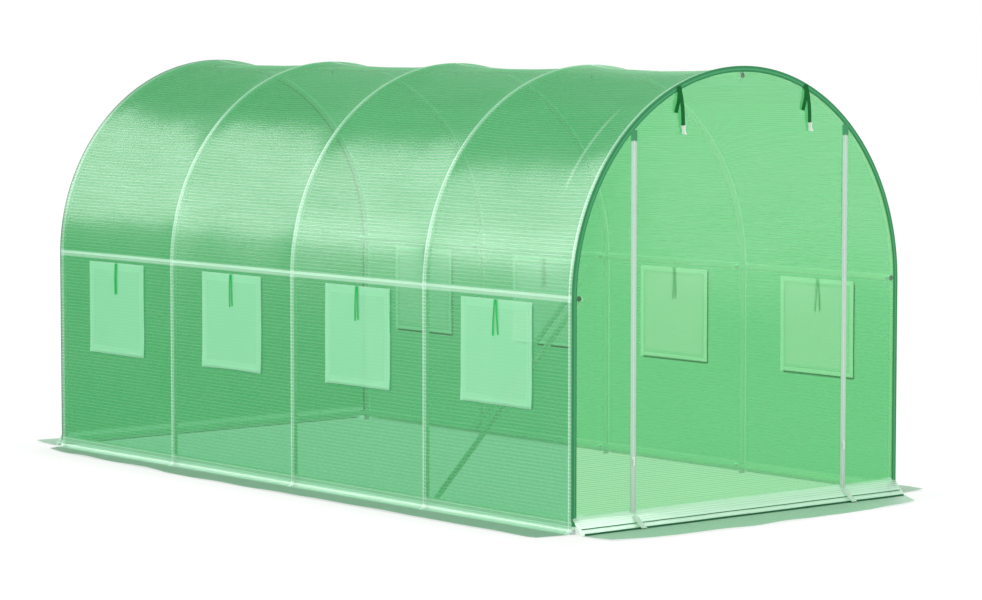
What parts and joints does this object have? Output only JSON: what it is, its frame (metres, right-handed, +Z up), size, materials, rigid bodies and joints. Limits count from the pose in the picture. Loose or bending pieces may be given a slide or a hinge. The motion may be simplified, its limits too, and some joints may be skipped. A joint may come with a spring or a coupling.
{
  "type": "polytunnel greenhouse",
  "caption": "Walk-in tunnel greenhouse: tube hoops under a green grid film cover, with a zipped roll-up door, flap windows and ground skirts.",
  "frame": {"origin": "centre of the footprint of the tunnel and its skirts, on the ground", "axes": "+Z up, +Y along the tunnel from the door end to the back end, +X to the right when facing the tunnel's back from the door"},
  "size_m": [2.3846, 4.6296, 2.0023],
  "materials": {
    "tube": "powder-coated thin steel tube, pale grey",
    "film": "translucent green woven grid film, slightly glossy",
    "end_film": "translucent green woven grid film, slightly glossy",
    "skirt_film": "green woven grid film lying on the ground",
    "flap_film": "double green woven film flap",
    "hem": "dark green woven binding tape, sewn on",
    "strap": "dark green webbing",
    "zip": "pale plastic zip on a woven tape",
    "toggle": "white moulded plastic",
    "mesh": "fine green insect mesh"
  },
  "bodies": {
    "root": {"hoop_1": "tube", "hoop_2": "tube", "hoop_3": "tube", "hoop_4": "tube", "hoop_5": "tube", "ridge_tube": "tube", "side_rail_left": "tube", "side_rail_right": "tube", "base_rail_left": "tube", "base_rail_right": "tube", "base_bar_front": "tube", "base_bar_back": "tube", "brace_left": "tube", "brace_right": "tube", "cover_side_left": "film", "cover_side_right": "film", "roof_low_left": "film", "roof_high_left": "film", "roof_high_right": "film", "roof_low_right": "film", "front_panel_left": "end_film", "front_panel_right": "end_film", "door_panel": "end_film", "back_panel": "end_film", "skirt_left": "skirt_film", "skirt_right": "skirt_film", "skirt_back": "skirt_film", "skirt_front_left": "skirt_film", "skirt_front_door": "skirt_film", "skirt_front_right": "skirt_film", "hem_front": "hem", "hem_back": "hem", "zip_left": "zip", "zip_right": "zip", "door_strap_left": "strap", "door_strap_right": "strap", "strap_toggles": "toggle", "window_flaps_left": "flap_film", "window_flaps_right": "flap_film", "window_mesh_left": "mesh", "window_mesh_right": "mesh", "flap_ties_left": "strap", "flap_ties_right": "strap"}
  },
  "joints": []
}
